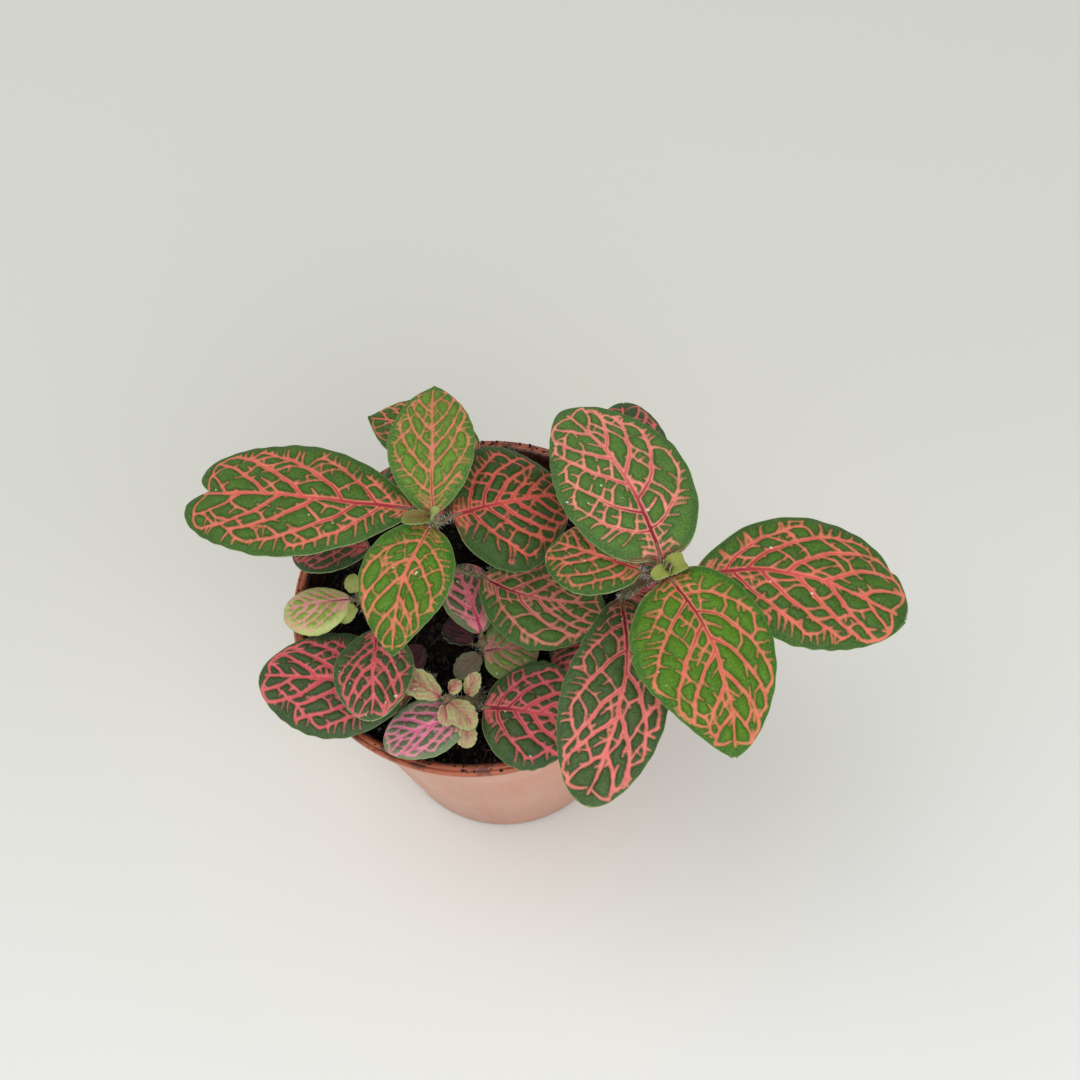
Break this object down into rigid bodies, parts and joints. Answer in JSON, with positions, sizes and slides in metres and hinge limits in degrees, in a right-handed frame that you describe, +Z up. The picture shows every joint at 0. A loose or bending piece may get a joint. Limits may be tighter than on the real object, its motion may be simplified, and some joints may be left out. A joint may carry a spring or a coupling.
{
  "type": "potted nerve plant",
  "caption": "Nerve plant (Fittonia): broad net-veined leaves on short hairy stems, standing in dark peat in a small tapered round plastic nursery pot.",
  "frame": {"origin": "centre of the pot's underside, on the surface that it stands on", "axes": "+Z up along the pot's axis; the picture looks along +Y and down, with +X to its right"},
  "size_m": [0.1504, 0.1075, 0.1242],
  "materials": {
    "pot_plastic": "satin terracotta-coloured plastic",
    "peat": "dark crumbly moist peat",
    "foliage": "satin green leaf with coral-pink net veins"
  },
  "bodies": {
    "root": {"pot": "pot_plastic", "soil": "peat", "stem_left_tall": "foliage", "stem_right_tall": "foliage", "stem_front": "foliage", "stem_middle": "foliage", "stem_left": "foliage", "stem_front_left": "foliage", "stem_back": "foliage"}
  },
  "joints": []
}
